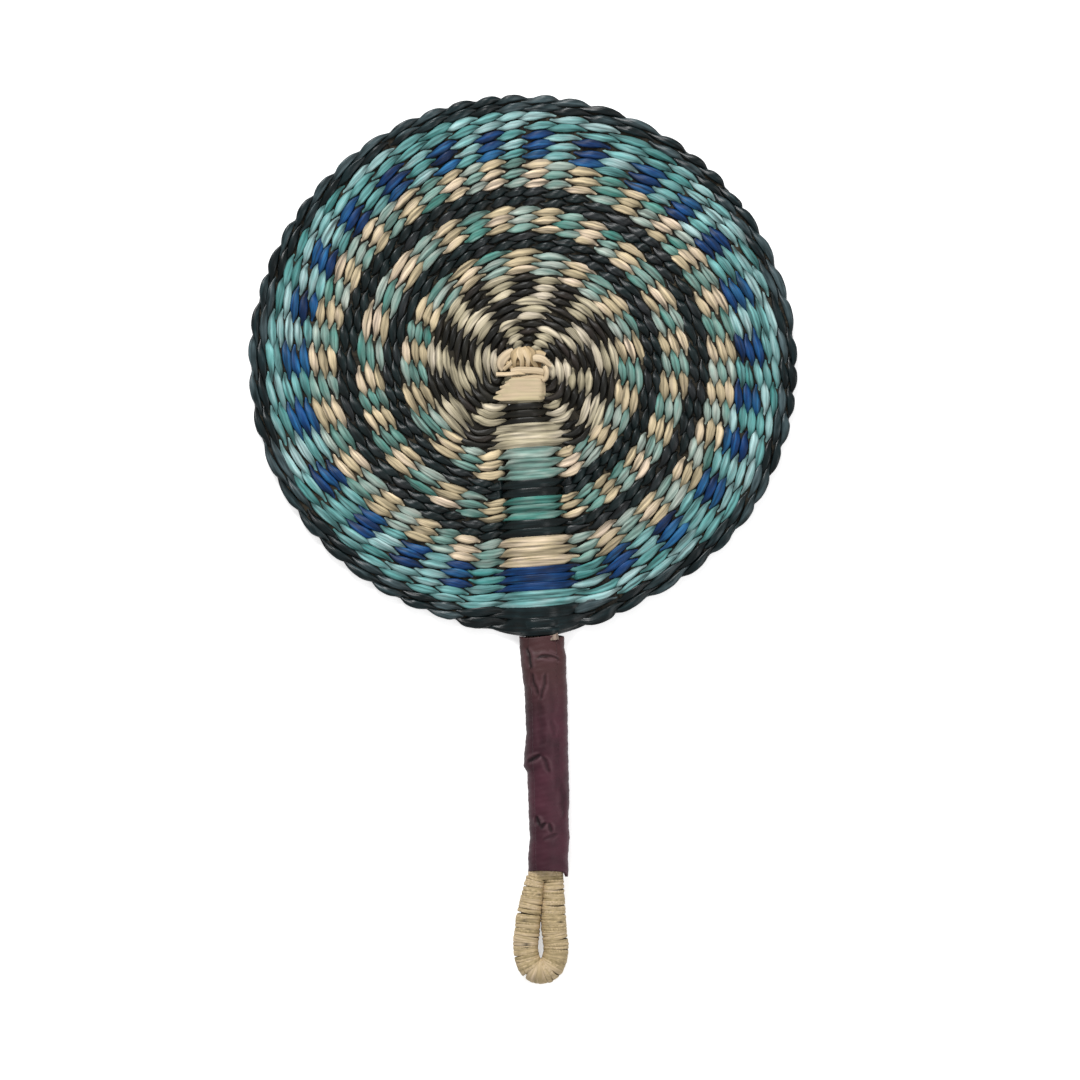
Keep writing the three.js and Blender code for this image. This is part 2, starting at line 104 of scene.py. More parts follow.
def store(tree, geometry, name, value, data_type):
    node = tree.nodes.new("GeometryNodeStoreNamedAttribute")
    node.data_type = data_type
    node.domain = "POINT"
    tree.links.new(geometry, node.inputs["Geometry"])
    node.inputs["Name"].default_value = name
    tree.links.new(value, node.inputs["Value"])
    return node.outputs["Geometry"]


# %% The sweep tree
def build_sweep():
    tree = bpy.data.node_groups.new("straw sweep", "GeometryNodeTree")
    add_sockets(tree, "INPUT", "Geometry", "Lines")
    add_sockets(tree, "INPUT", "Int", "Sides")
    add_sockets(tree, "INPUT", "Float", "Groove", "Bluntness")
    add_sockets(tree, "INPUT", "Material", "Finish")
    add_sockets(tree, "OUTPUT", "Geometry", "Straws")
    given = tree.nodes.new("NodeGroupInput").outputs

    curve = add_node(tree, "GeometryNodeMeshToCurve", Mesh=given["Lines"]).outputs[0]
    spot = tree.nodes.new("GeometryNodeInputPosition").outputs[0]
    curve = store(tree, curve, "centre", spot, "FLOAT_VECTOR")
    along = tree.nodes.new("GeometryNodeSplineParameter").outputs["Length"]
    curve = store(tree, curve, "along", along, "FLOAT")

    ring = add_node(tree, "GeometryNodeCurvePrimitiveCircle", Resolution=given["Sides"], Radius=MM)
    corner = tree.nodes.new("GeometryNodeSplineParameter").outputs["Index"]
    ring = store(tree, ring.outputs["Curve"], "corner", corner, "FLOAT")
    tube = add_node(tree, "GeometryNodeCurveToMesh", Curve=curve, Profile_Curve=ring, Fill_Caps=True)

    corner = named(tree, "corner", "FLOAT")
    turn = maths(tree, "DIVIDE", maths(tree, "MULTIPLY", corner, 2 * math.pi), given["Sides"])
    sunk = maths(tree, "MULTIPLY", maths(tree, "MODULO", corner, 2.0), given["Groove"])
    reach = maths(tree, "SUBTRACT", 1.0, sunk)

    def blunt(value):
        size = maths(tree, "POWER", maths(tree, "ABSOLUTE", value), given["Bluntness"])
        return maths(tree, "MULTIPLY", maths(tree, "MULTIPLY", maths(tree, "SIGN", value), size), reach)

    wide = maths(tree, "MULTIPLY", blunt(maths(tree, "COSINE", turn)), named(tree, "half_width", "FLOAT"))
    high = maths(tree, "MULTIPLY", blunt(maths(tree, "SINE", turn)), named(tree, "half_thick", "FLOAT"))
    across = vector_maths(tree, "SCALE", named(tree, "across", "FLOAT_VECTOR"), wide)
    rise = vector_maths(tree, "SCALE", named(tree, "rise", "FLOAT_VECTOR"), high)
    place = vector_maths(tree, "ADD", named(tree, "centre", "FLOAT_VECTOR"), across)
    place = vector_maths(tree, "ADD", place, rise)
    moved = add_node(tree, "GeometryNodeSetPosition", Geometry=tube.outputs[0], Position=place).outputs[0]

    grain = add_node(tree, "ShaderNodeCombineXYZ", X=named(tree, "along", "FLOAT"), Y=wide, Z=high)
    moved = store(tree, moved, "fibre", grain.outputs[0], "FLOAT_VECTOR")
    rim = maths(tree, "ABSOLUTE", maths(tree, "COSINE", turn))
    moved = store(tree, moved, "edge", rim, "FLOAT")
    for name in ("centre", "across", "rise", "half_width", "half_thick", "along", "corner"):
        moved = add_node(tree, "GeometryNodeRemoveAttribute", Geometry=moved, Name=name).outputs[0]
    moved = add_node(tree, "GeometryNodeSetShadeSmooth", Geometry=moved).outputs[0]
    moved = add_node(tree, "GeometryNodeRealizeInstances", Geometry=moved).outputs[0]
    moved = add_node(tree, "GeometryNodeSetMaterial", Geometry=moved, Material=given["Finish"]).outputs[0]
    tree.links.new(moved, tree.nodes.new("NodeGroupOutput").inputs["Straws"])
    return tree


sweep = build_sweep()
print("sweep tree:", len(sweep.nodes), "nodes")

# %% [markdown]
# A line of points becomes a mesh of edges whose points carry those values. The modifier turns it into
# tubes, the result is kept as a plain mesh, and the modifier goes. Each finished piece is tied to the
# body that carries it, and the solid that it stands for is hidden.

# %% From lines to a finished piece
def unit(vectors):
    return vectors / np.linalg.norm(vectors, axis=-1)[..., None]


def line(points, side, half_width, half_thick, tint=0.5, dive_shade=0.0):
    """One straw: points in mm, a way across, half sizes in mm, its colour value, and how deep it lies, which
    sets its painted shade.
    """
    points = np.asarray(points, float)
    count = len(points)
    along = unit(np.gradient(points, axis=0))
    side = np.broadcast_to(np.asarray(side, float), (count, 3))
    rise = unit(np.cross(along, side))
    across = np.cross(rise, along)

    def full(value):
        return np.broadcast_to(np.asarray(value, float), (count,))

    return dict(points=points, across=across, rise=rise, half_width=full(half_width),
                half_thick=full(half_thick), stitch=full(tint), dive_shade=full(dive_shade))


def finish_piece(mesh, name, slot, *nodes):
    piece = bpy.data.objects.new(name, mesh)
    scene.collection.objects.link(piece)
    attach(piece, "root")
    if nodes:
        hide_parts(*nodes)
    return piece


def face_outward(mesh):
    mesh.calc_loop_triangles()
    corners = np.empty(len(mesh.loop_triangles) * 3, int)
    mesh.loop_triangles.foreach_get("vertices", corners)
    spots = np.empty(len(mesh.vertices) * 3)
    mesh.vertices.foreach_get("co", spots)
    a, b, c = spots.reshape(-1, 3)[corners].reshape(-1, 3, 3).transpose(1, 0, 2)
    if np.einsum("ij,ij->i", a, np.cross(b, c)).sum() < 0:
        mesh.flip_normals()
    return len(mesh.loop_triangles)


def sweep_lines(lines, name, finish, slot, *nodes, sides=10, groove=0.0, bluntness=1.0):
    mesh = bpy.data.meshes.new(name + "_lines")
    starts = np.cumsum([0] + [len(item["points"]) for item in lines])
    edges = [(i, i + 1) for a, b in zip(starts, starts[1:]) for i in range(a, b - 1)]
    joined = {key: np.concatenate([item[key] for item in lines]) for key in lines[0]}
    mesh.from_pydata((joined["points"] * MM).tolist(), edges, [])
    scales = {"across": 1, "rise": 1, "half_width": MM, "half_thick": MM, "stitch": 1, "dive_shade": 1}
    for key, scale in scales.items():
        vector = key in ("across", "rise")
        layer = mesh.attributes.new(key, "FLOAT_VECTOR" if vector else "FLOAT", "POINT")
        layer.data.foreach_set("vector" if vector else "value", (joined[key] * scale).ravel())
    holder = bpy.data.objects.new(name + "_lines", mesh)
    scene.collection.objects.link(holder)
    modifier = holder.modifiers.new("sweep", "NODES")
    modifier.node_group = sweep
    sockets = {item.name: item.identifier for item in sweep.interface.items_tree if item.in_out == "INPUT"}
    modifier[sockets["Sides"]] = sides
    modifier[sockets["Groove"]] = groove
    modifier[sockets["Bluntness"]] = bluntness
    modifier[sockets["Finish"]] = finish
    shown = holder.evaluated_get(bpy.context.evaluated_depsgraph_get())
    made = bpy.data.meshes.new_from_object(shown)
    made.name = name
    bpy.data.objects.remove(holder)
    bpy.data.meshes.remove(mesh)
    triangles = face_outward(made)
    piece = finish_piece(made, name, slot, *nodes)
    print(f"{name}: {len(lines)} straws, {triangles} triangles")
    return piece


# %% [markdown]
# Straw is never one flat colour. Dye takes unevenly from one straw to the next, and fine fibres run
# along each of them. Both come from values that the sweep leaves on the mesh, so the grain follows the
# straw round every bend: "fibre" is the place along, across and up, "stitch" changes with each float,
# "edge" rises to 1 at the sides, and a dive value rises where a straw slips under its neighbour. Those
# places are darkened in the colour as painted shade, for the shadow that falls there.

# %% Straw grain as a shader group
def linear(red, green, blue):
    def one(value):
        value /= 255
        return value / 12.92 if value <= 0.04045 else ((value + 0.055) / 1.055) ** 2.4
    return (one(red), one(green), one(blue), 1.0)


def mix_colour(tree, blend, factor, first, second):
    node = tree.nodes.new("ShaderNodeMix")
    node.data_type = "RGBA"
    node.blend_type = blend
    for name, value in (("Factor_Float", factor), ("A_Color", first), ("B_Color", second)):
        feed(tree, next(item for item in node.inputs if item.identifier == name), value)
    return next(item for item in node.outputs if item.identifier == "Result_Color")


def build_grain():
    tree = bpy.data.node_groups.new("straw grain", "ShaderNodeTree")
    add_sockets(tree, "INPUT", "Vector", "Fibre")
    add_sockets(tree, "INPUT", "Float", "Stitch", "Edge", "Dive", "Streaks", "Shadow")
    add_sockets(tree, "INPUT", "Color", "Deep", "Middle", "Pale")
    add_sockets(tree, "OUTPUT", "Color", "Colour")
    add_sockets(tree, "OUTPUT", "Float", "Height")
    given = tree.nodes.new("NodeGroupInput").outputs

    stitch = given["Stitch"]
    shift = add_node(tree, "ShaderNodeCombineXYZ", X=maths(tree, "MULTIPLY", stitch, 91.0)).outputs[0]

    def noise(stretch):
        spot = vector_maths(tree, "ADD", vector_maths(tree, "MULTIPLY", given["Fibre"], stretch), shift)
        return add_node(tree, "ShaderNodeTexNoise", Vector=spot, Scale=1.0, Detail=2.0).outputs[0]

    fine = noise((45, 850, 850))
    broad = noise((110, 420, 420))

    uneven = maths(tree, "MULTIPLY", maths(tree, "SUBTRACT", broad, 0.5), 1.1)
    level = maths(tree, "ADD", stitch, uneven)
    low = maths(tree, "MULTIPLY", level, 2.0)
    high = maths(tree, "SUBTRACT", low, 1.0)
    for_low = add_node(tree, "ShaderNodeClamp", Value=low).outputs[0]
    for_high = add_node(tree, "ShaderNodeClamp", Value=high).outputs[0]
    colour = mix_colour(tree, "MIX", for_low, given["Deep"], given["Middle"])
    colour = mix_colour(tree, "MIX", for_high, colour, given["Pale"])
    streak = maths(tree, "MULTIPLY", maths(tree, "SUBTRACT", fine, 0.5), given["Streaks"])
    streak = maths(tree, "MAXIMUM", maths(tree, "ADD", streak, 1.0), 0.2)
    # Painted shade: the colour darkens towards the sides of each straw by Shadow, and by up to half where it
    # dives under its neighbour.
    at_edge = maths(tree, "SUBTRACT", 1.0, given["Shadow"])
    shade = add_node(tree, "ShaderNodeMapRange", Value=given["Edge"], From_Min=0.6, To_Min=1.0,
                     To_Max=at_edge)
    shade.interpolation_type = "SMOOTHSTEP"
    shade = maths(tree, "MULTIPLY", streak, shade.outputs[0])
    deep = maths(tree, "SUBTRACT", 1.0, maths(tree, "MULTIPLY", given["Dive"], 0.5))
    shade = maths(tree, "MULTIPLY", shade, deep)
    grey = add_node(tree, "ShaderNodeCombineColor", Red=shade, Green=shade, Blue=shade).outputs[0]
    colour = mix_colour(tree, "MULTIPLY", 1.0, colour, grey)
    result = tree.nodes.new("NodeGroupOutput")
    tree.links.new(colour, result.inputs["Colour"])
    tree.links.new(fine, result.inputs["Height"])
    return tree


grain_group = build_grain()
print("straw grain:", len(grain_group.nodes), "nodes")

# %% Straw finishes
def new_material(name):
    material = bpy.data.materials.new(name)
    material.use_nodes = True
    return material, material.node_tree, material.node_tree.nodes["Principled BSDF"]


def from_mesh(tree, name, output="Fac"):
    source = tree.nodes.new("ShaderNodeAttribute")
    source.attribute_name = name
    return source.outputs[output]


def straw_finish(name, deep, middle, pale, roughness, streaks=3.2, shadow=0.3, bump=0.7):
    material, tree, shader = new_material(name)
    grain = tree.nodes.new("ShaderNodeGroup")
    grain.node_tree = grain_group
    feed_all(tree, grain, Fibre=from_mesh(tree, "fibre", "Vector"), Stitch=from_mesh(tree, "stitch"),
             Edge=from_mesh(tree, "edge"), Dive=from_mesh(tree, "dive_shade"), Streaks=streaks, Shadow=shadow,
             Deep=linear(*deep), Middle=linear(*middle), Pale=linear(*pale))
    raised = add_node(tree, "ShaderNodeBump", Height=grain.outputs["Height"], Strength=bump, Distance=0.0004)
    feed_all(tree, shader, Base_Color=grain.outputs["Colour"], Normal=raised.outputs[0], Roughness=roughness,
             Specular_IOR_Level=0.3)
    return material


FINISH = {
    "natural": straw_finish("natural straw", (136, 128, 104), (179, 169, 143), (204, 192, 172), 0.7),
    "cream": straw_finish("cream straw", (156, 143, 114), (192, 175, 142), (214, 194, 172), 0.7),
    "aqua": straw_finish("aqua straw", (57, 120, 117), (103, 154, 153), (156, 184, 184), 0.65),
    "pale aqua": straw_finish("pale aqua straw", (60, 122, 112), (116, 145, 136), (172, 180, 170), 0.65),
    "blue": straw_finish("blue straw", (0, 28, 66), (4, 54, 104), (34, 96, 140), 0.5),
    "brown black": straw_finish("brown black straw", (12, 13, 10), (26, 24, 17), (44, 37, 33), 0.44),
    "black": straw_finish("black straw", (8, 20, 21), (17, 31, 32), (38, 40, 42), 0.36),
    # Partly painted highlight: the pale end of this rim straw is set light to stand in for glints on its
    # black strands.
    "green black": straw_finish("green black straw", (0, 10, 12), (14, 31, 34), (70, 86, 90), 0.33),
    "leaf": straw_finish("flat leaf", (176, 165, 122), (196, 181, 146), (208, 184, 156), 0.7, 0.7, 0.0, 0.1),
    "knot": straw_finish("knot straw", (100, 75, 42), (194, 170, 131), (219, 198, 167), 0.7, 1.3, 0.4),
    # Painted shade: the stakes are natural straw, given a dark colour for the shadow they lie in.
    "stake": straw_finish("stake straw darkened as shade", (24, 22, 16), (36, 32, 24), (50, 44, 32), 0.8),
    # Partly painted shade: greyer and darker than the natural straw, for the cut end that shows between the
    # rim and the leather.
    "bundle": straw_finish("bundle straw", (126, 108, 98), (156, 137, 122), (184, 166, 148), 0.7),
    "raffia": straw_finish("raffia", (142, 126, 88), (187, 166, 128), (212, 190, 160), 0.75, 0.9, 0.2),
}
print("straw finishes:", ", ".join(FINISH))

# %% [markdown]
# Each row is twined: two straws pass every stake, one in front and one behind, and turn half round
# each other before the next. Seen from the front that gives slanted floats in two colours that take
# turns. A texture could fake it, but then the gaps, the slant and the knobbly rim would be missing.
# So the columns are written down as angles, clockwise from the handle, as uneven as the hand work is.

# %% Where the columns stand
def stand(marked, at_even):
    """Angles of all columns from handle to handle; the marked ones are every other column."""
    marked = list(marked)
    between = [(a + b) / 2 for a, b in zip(marked, marked[1:])]
    if at_even:
        between = [0.69 * marked[0]] + between + [360 - 0.69 * (360 - marked[-1])]
        pairs = [angle for pair in zip(between, marked + [None]) for angle in pair][:-1]
    else:
        pairs = [angle for pair in zip(marked, between + [None]) for angle in pair][:-1]
    return np.radians([0.0] + pairs + [360.0])


OUTER = stand([22, 35, 49, 64, 81, 96, 110, 123, 136, 149, 164, 176, 188, 202, 218, 230, 241, 255, 270,
               282, 294, 307, 322, 338], True)
MIDDLE = stand([15, 34, 57, 74, 89, 110, 134, 156, 175, 194, 212, 228, 248, 265, 281, 299, 314, 329, 345],
               False)
INNER = stand([23, 46, 79, 102, 122, 153, 184, 214, 240, 265, 291, 315, 338], False)
CHECK_OUT = stand([38, 80, 118, 150, 186, 215, 248, 289, 325], False)
CHECK_MID = stand([59, 109, 165, 224, 268, 306], True)
CHECK_IN = stand([61, 140, 194, 250, 305], False)
ALL_COLUMNS = (OUTER, MIDDLE, INNER, CHECK_OUT, CHECK_MID, CHECK_IN)
print("columns from the rim in:", [len(columns) - 1 for columns in ALL_COLUMNS])

# %% [markdown]
# The bands are listed from the centre out, with the solids that they stand for. Near the handle the
# rows are pulled towards the centre and packed unevenly, so a second list says where the edge of each
# band crosses the handle.

# %% Bands and the handle crossing
BANDS = [
    # name, rows, pitch, over, under, half the width and the colour value of its floats over the handle
    ("centre_check", 4, 3.6, "natural", "brown black", 9.5, 0.5),
    ("check_turn", 2, 3.6, "brown black", "natural", 9.8, 0.4),
    ("outer_check", 3, 3.6, "natural", "brown black", 16.8, 0.55),
    ("inner_band", 3, 4.0, "pale aqua", "cream", 12.4, 0.5),
    ("inner_ring", 2, 4.0, "black", "black", 14.0, 0.25),
    ("middle_band", 3, 4.2, "pale aqua", "cream", 12.8, 0.18),
    ("outer_ring", 2, 4.4, "black", "black", 15.5, 0.3),
    ("cream_band", 3, 4.4, "cream", "pale aqua", 17.0, 0.6),
    ("blue_band", 3, 4.4, "blue", "aqua", 17.6, 0.33),
    ("aqua_band", 2, 4.1, "aqua", "aqua", 18.2, 0.47),
    ("rim", 2, 3.6, "green black", "green black", 19.0, 0.2),
]
WEAVE_START = 11.7
EDGES = np.array([4.5, 8.1, 11.7, 22.5, 33.3, 44.1, 56.1, 64.1, 76.7, 85.5, 98.7, 111.9, 120.1, 124.5,
                  127.2, 130])
CROSSING = np.array([0, 1.5, 4.0, 17.3, 27.6, 38.4, 53.4, 61.4, 72.2, 80, 94, 105.4, 113, 119.6, 124.6,
                     128])


def smooth(value, low, high):
    share = np.clip((value - low) / (high - low), 0, 1)
    return share * share * (3 - 2 * share)


CORE_BOTTOM = 1.7
UNDER_CORE = 1.05  # height of a straw that passes behind the handle bundle


def core_size(distance):
    """Half width and height of the handle bundle inside the blade."""
    share = smooth(np.asarray(distance, float), 6.5, 42.0)
    return 4.5 + 6.0 * share, 4.4 + 4.3 * share


def over_core(distance):
    """Height of the lowest straw that can pass over the handle bundle."""
    return CORE_BOTTOM + core_size(np.maximum(distance, 6.5))[1] + 0.25


def dome(across, distance):
    """From 1 on top of the handle bundle to 0 beside it."""
    half = core_size(np.maximum(distance, 6.5))[0]
    return 1 - smooth(np.abs(across), 0.38 * half, 1.6 * half)


print("blade radius:", round(WEAVE_START + sum(b[1] * b[2] for b in BANDS), 1), "mm")

# %% [markdown]
# One straw of a row is a helix flattened onto the blade: its height goes up and down with the cosine of
# its turn and its radius swings with the sine, which makes the floats lean. It is widest in the middle
# of a float and narrow where the pair crosses, so the tips of two colours mesh like teeth. Over the
# handle the float is a broad flat strip. A fixed seed moves every float a little.

# %% The path of one straw
MID_LEVEL = 3.3  # height of the stakes
SWING = 1.6  # height of a float over the stakes
HALF_THICK = 0.7
ROLL = math.radians(20)  # of a straw where the pair crosses
SLANT = 0.26  # how far the radius swings, in row widths
NARROW = 0.46  # width of a straw where the pair crosses, in row widths
SWELL = 0.5  # what the middle of a float adds to that
TUCK = 0.6  # how far the ends dip under their neighbours
FLOOR_GAP = 0.06


def drawn_in(angle):
    """How far the rim is drawn in beside the handle, in mm, more on the left than on the right."""
    turned = (angle + np.pi) % (2 * np.pi) - np.pi
    return 3.4 * np.exp(-((turned - 0.44) / 0.79) ** 2) + 2.2 * np.exp(-((turned + 0.44) / 0.35) ** 2)


def shown_radius(place, angle):
    """Where a round of that radius lies: the blade is wider than it is high, and drawn in by the handle."""
    oval = 0.019 - 0.013 * smooth(place, 85, 125)
    return place * (1 - oval * np.cos(2 * angle)) - drawn_in(angle) * smooth(place, 60, 125)


def twined(radius, pitch, columns, phase, seed, half, handle_tint, scallop=0.0, broad=1.0):
    """One straw of one row. Phase 0 passes in front of the handle, phase 1 behind it."""
    rng = np.random.default_rng(seed)
    count = len(columns) - 1
    per = 14 if count > 30 else 18 if count > 20 else 26  # points from one stake to the next
    first, last = (-0.95, count - 0.5) if phase == 0 else (-0.5, count - 0.05)
    step = np.linspace(first, last, int((last - first) * per) + 1)

    def uneven(size):
        return np.interp(step, np.arange(-2, count + 3), rng.normal(0, size, count + 5))

    edge = math.asin(min(half / radius, 0.8))
    knots = np.concatenate([[-1, -0.5, 0, 0.5], np.arange(1, count), [count - 0.5, count]])
    angles = np.concatenate([[columns[-2] - 2 * np.pi, -edge, 0, edge], columns[1:-1],
                             [2 * np.pi - edge, 2 * np.pi]])
    angle = np.interp(step, knots, angles)
    at_handle = 1 - smooth(np.minimum(np.abs(step), np.abs(step - count)), 0.35, 0.6)
    spacing = np.interp(step, np.arange(count), np.diff(columns))
    angle = angle + uneven(0.10) * spacing * (1 - at_handle)

    helix = np.pi * (step - phase)
    front, lean = np.cos(helix), np.sin(helix)
    slant = lean * np.abs(lean) ** 0.4
    place = radius + (SLANT * pitch * slant + scallop * front + uneven(0.15)) * (1 - at_handle)
    shown = shown_radius(place, angle)

    away = np.abs((angle + np.pi) % (2 * np.pi) - np.pi)
    pull = 1 - smooth(away, edge, edge + 0.9 * columns[1])
    crossing = np.interp(place, EDGES, CROSSING)
    packed = np.interp(place + pitch / 2, EDGES, CROSSING) - np.interp(place - pitch / 2, EDGES, CROSSING)
    packed = 1 + (np.clip(packed / pitch, 0.75, 1.7) - 1) * pull
    flat = np.clip((place - crossing) / 2, 0, 1) * (1 - 0.8 * smooth(place, 116, 124))
    x = -shown * np.sin(angle)
    y_round = -shown * np.cos(angle)
    y_cross = -crossing * (flat + (1 - flat) * np.cos(angle))
    y = y_round + (y_cross - y_round) * pull

    thick = HALF_THICK * (1 + uneven(0.06)) * (1 - 0.3 * at_handle)
    swing = SWING + uneven(0.10) * (1 - at_handle)
    z = MID_LEVEL + swing * np.sign(front) * np.abs(front) ** 1.2
    past_core = over_core(crossing) + thick if phase == 0 else UNDER_CORE
    passing = 1 - smooth(np.abs(step) if phase == 0 else np.minimum(np.abs(step), count - step), 0.5, 1.0)
    z = z + (past_core - z) * dome(x, crossing) * passing
    z = z - TUCK * (1 - smooth(step, first, first + 0.15)) - TUCK * smooth(step, last - 0.15, last)
    z = np.maximum(z, thick + FLOOR_GAP)

    shown_lens = NARROW + SWELL * np.abs(front) ** (0.8 - 0.45 * at_handle)
    hidden_lens = NARROW - 0.14 * smooth(-front, 0.0, 0.35) + 0.6 * smooth(-front, 0.4, 1.0)
    lens = np.where(front > 0, shown_lens, hidden_lens)
    width = pitch * packed * lens * (broad + uneven(0.05)) * (1 + 0.23 * at_handle)
    tips = smooth(step, first, first + 0.12) * smooth(-step, -last, -last + 0.12)
    width = width * (0.2 + 0.8 * tips)

    roll = ROLL * lean * (1 - at_handle)
    side = unit(np.stack([-np.sin(angle) * (1 - pull), -np.cos(angle), 0 * angle], axis=1))
    side = side * np.cos(roll)[:, None]
    side[:, 2] += np.sin(roll)
    tint = rng.uniform(0.12, 0.9, count + 6)
    tint[2] = handle_tint + 0.3 * (rng.random() - 0.5)
    colour = tint[np.floor((step - phase + 1) / 2).astype(int) + 2]
    # Painted shade: how much the straw is darkened where the pair crosses and it dives under its neighbour,
    # less over the handle.
    dive_shade = (1 - smooth(np.abs(front), 0.0, 0.75)) * (1 - 0.5 * at_handle)
    return line(np.stack([x, y, z], axis=1), side, width / 2, thick, colour, dive_shade)


# %% [markdown]
# Now the rows. Each starts beside the handle, crosses it, goes once round and ends tucked under its own
# start. The check at the centre changes its count on the way out. The rim gets two more floats over the
# handle, where it is thickest, and a flat leaf covers the handle just below the knot.

# %% Twine the blade
weave_columns = {
    "check_turn": CHECK_MID, "outer_check": CHECK_OUT, "inner_band": INNER, "inner_ring": MIDDLE,
    "middle_band": MIDDLE, "outer_ring": OUTER, "cream_band": OUTER, "blue_band": OUTER, "aqua_band": OUTER,
    "rim": OUTER,
}
SLOT = {"natural": "natural_straw", "cream": "cream_straw", "aqua": "aqua_straw", "blue": "blue_straw",
        "pale aqua": "aqua_straw", "brown black": "black_straw", "black": "black_straw",
        "green black": "black_straw"}
BREADTH = {"natural": 1.12, "brown black": 0.9, "green black": 1.15}  # where it isn't 1
RIM_SCALLOP = 0.6
inner_edge = WEAVE_START
for number, (band, rows, pitch, over, under, half, handle_tint) in enumerate(BANDS):
    radii = inner_edge + pitch * (np.arange(rows) + 0.5)
    inner_edge += rows * pitch
    for phase, (role, colour) in enumerate((("over", over), ("under", under))):
        seed = 100 * number + 50 * phase
        broad = BREADTH.get(colour, 1.0)
        if band == "centre_check":
            inmost = np.concatenate([[radii[0] - pitch], radii[:3]])
            lines = [twined(r, pitch, CHECK_IN, phase, seed + i, half, handle_tint, broad=broad)
                     for i, r in enumerate(inmost)]
            lines.append(twined(radii[3], pitch, CHECK_MID, 1 - phase, seed + 9, half, handle_tint,
                                broad=broad))
        else:
            scallop = [RIM_SCALLOP if band == "rim" and i == rows - 1 else 0.0 for i in range(rows)]
            columns = weave_columns[band]
            lines = [twined(r, pitch, columns, phase, seed + i, half, handle_tint, scallop[i], broad)
                     for i, r in enumerate(radii)]
        if band == "rim" and phase == 0:
            share = np.linspace(-1, 1, 41)
            cap_x = 26 * share
            cap_z = MID_LEVEL - 1.2 + (over_core(120) + 0.9 - MID_LEVEL + 1.2) * dome(cap_x, 120)
            for row, tint in ((-120.9, 0.3), (-124.6, 0.2)):
                cap = np.stack([cap_x, row + 5.0 * np.abs(share) ** 2.4, cap_z - 0.3 * share ** 2], axis=1)
                lines.append(line(cap, (0, -1, 0), 0.4 + 1.75 * (1 - share ** 2) ** 0.6, 0.6, tint))
        node = f"{band}_{role}_strand"
        sweep_lines(lines, f"{band}_{role}_straw", FINISH[colour], SLOT[colour], node,
                    sides=12, groove=0.06, bluntness=0.8)

# %% Flat leaf below the knot
LEAF_STRIPS = [
    # left end, right end, half width, colour value
    ((-8.6, -7.2), (9.7, -8.7), 2.1, 0.7),
    ((-11.2, -9.2), (9.9, -10.8), 2.2, 0.75),
    ((-13.4, -11.6), (9.7, -13.1), 2.2, 0.65),
    ((-15.6, -13.8), (9.0, -15.1), 1.7, 0.6),
]
leaf = []
for number, (left_end, right_end, half, tint) in enumerate(LEAF_STRIPS):
    share = np.linspace(0, 1, 29)[:, None]
    flat = np.asarray(left_end) * (1 - share) + np.asarray(right_end) * share
    share = share[:, 0]
    level = 8.4 - 0.04 * (number % 2) - 2.5 * smooth(np.abs(flat[:, 0]), 5, 13)
    level = level - 0.9 * (1 - smooth(share, 0, 0.12)) - 2.2 * smooth(share, 0.9, 1.0)
    breadth = half * (0.25 + 0.75 * smooth(share, 0.0, 0.2)) * (1 - 0.3 * smooth(share, 0.92, 1.0))
    leaf.append(line(np.column_stack([flat, level]), (0, 1, 0), breadth, 0.2, tint))
sweep_lines(leaf, "centre_leaf", FINISH["leaf"], "natural_straw", "centre_check_over_strand", sides=16,
            bluntness=0.6)

# %% [markdown]
# The stakes are hidden in the weave but carry it, so they are made all the same: flat bunches of straw
# that run out from the centre and spread, with more of them in each wider zone. They lie in shadow, so
# their straw is given a dark colour as painted shade, and only a dark glint of them shows between the rows.

# %% Stakes
ZONES = [(3.0, 25.0, CHECK_IN), (20.0, 36.0, CHECK_MID), (30.0, 46.0, CHECK_OUT), (42.0, 58.0, INNER),
         (55.0, 79.0, MIDDLE), (75.0, 125.8, OUTER)]
stakes = []
for start, end, columns in ZONES:
    beside = [0.6 * columns[1], *columns[1:-1], 2 * math.pi - 0.6 * (2 * math.pi - columns[-2])]
    for number, angle in enumerate(beside):
        reach = shown_radius(np.linspace(start, end, 8), angle)
        level = np.full(8, MID_LEVEL - 0.2)
        points = np.stack([-reach * math.sin(angle), -reach * math.cos(angle), level], axis=1)
        side = (math.cos(angle), -math.sin(angle), 0)
        spread = np.diff(beside)[max(number - 1, 0):number + 1].max()
        stakes.append(line(points, side, 0.52 * spread * reach, 0.25, (number * 0.37) % 1))
for number in range(9):
    angle = number * math.pi / 9
    reach = np.linspace(-12.5, 12.5, 9)
    level = 1.9 + 0.4 * number
    points = np.stack([reach * math.cos(angle), reach * math.sin(angle), level - 0.006 * reach ** 2], axis=1)
    stakes.append(line(points, (-math.sin(angle), math.cos(angle), 0), 1.9, 0.8, (number * 0.29) % 1))
sweep_lines(stakes, "stake_straws", FINISH["stake"], "bundle_straw", "warp_stakes", sides=8)

# %% [markdown]
# The handle is a bundle of straws that starts at the centre, runs under the floats to the rim, bends a
# little there and goes on inside the leather. The straws fill the outline of the solid on a spiral of
# equal areas, the way seeds sit in a sunflower.

# %% Handle bundle
LEAN = math.radians(2.8)
GRIP_START = -127.6
GRIP_MID = 7.5
SLEEVE_LENGTH = 109.0


def from_grip(points):
    """From the grip's own axes, with the rim at the origin and the axis along -Y, to the frame."""
    points = np.asarray(points, float)
    x = points[:, 0] * math.cos(LEAN) + points[:, 1] * math.sin(LEAN)
    y = -points[:, 0] * math.sin(LEAN) + points[:, 1] * math.cos(LEAN)
    return np.stack([x, y + GRIP_START, points[:, 2]], axis=1)


def grip_half(distance):
    return 9.3 - 1.0 * np.clip(np.asarray(distance, float) / 24, 0, 1)


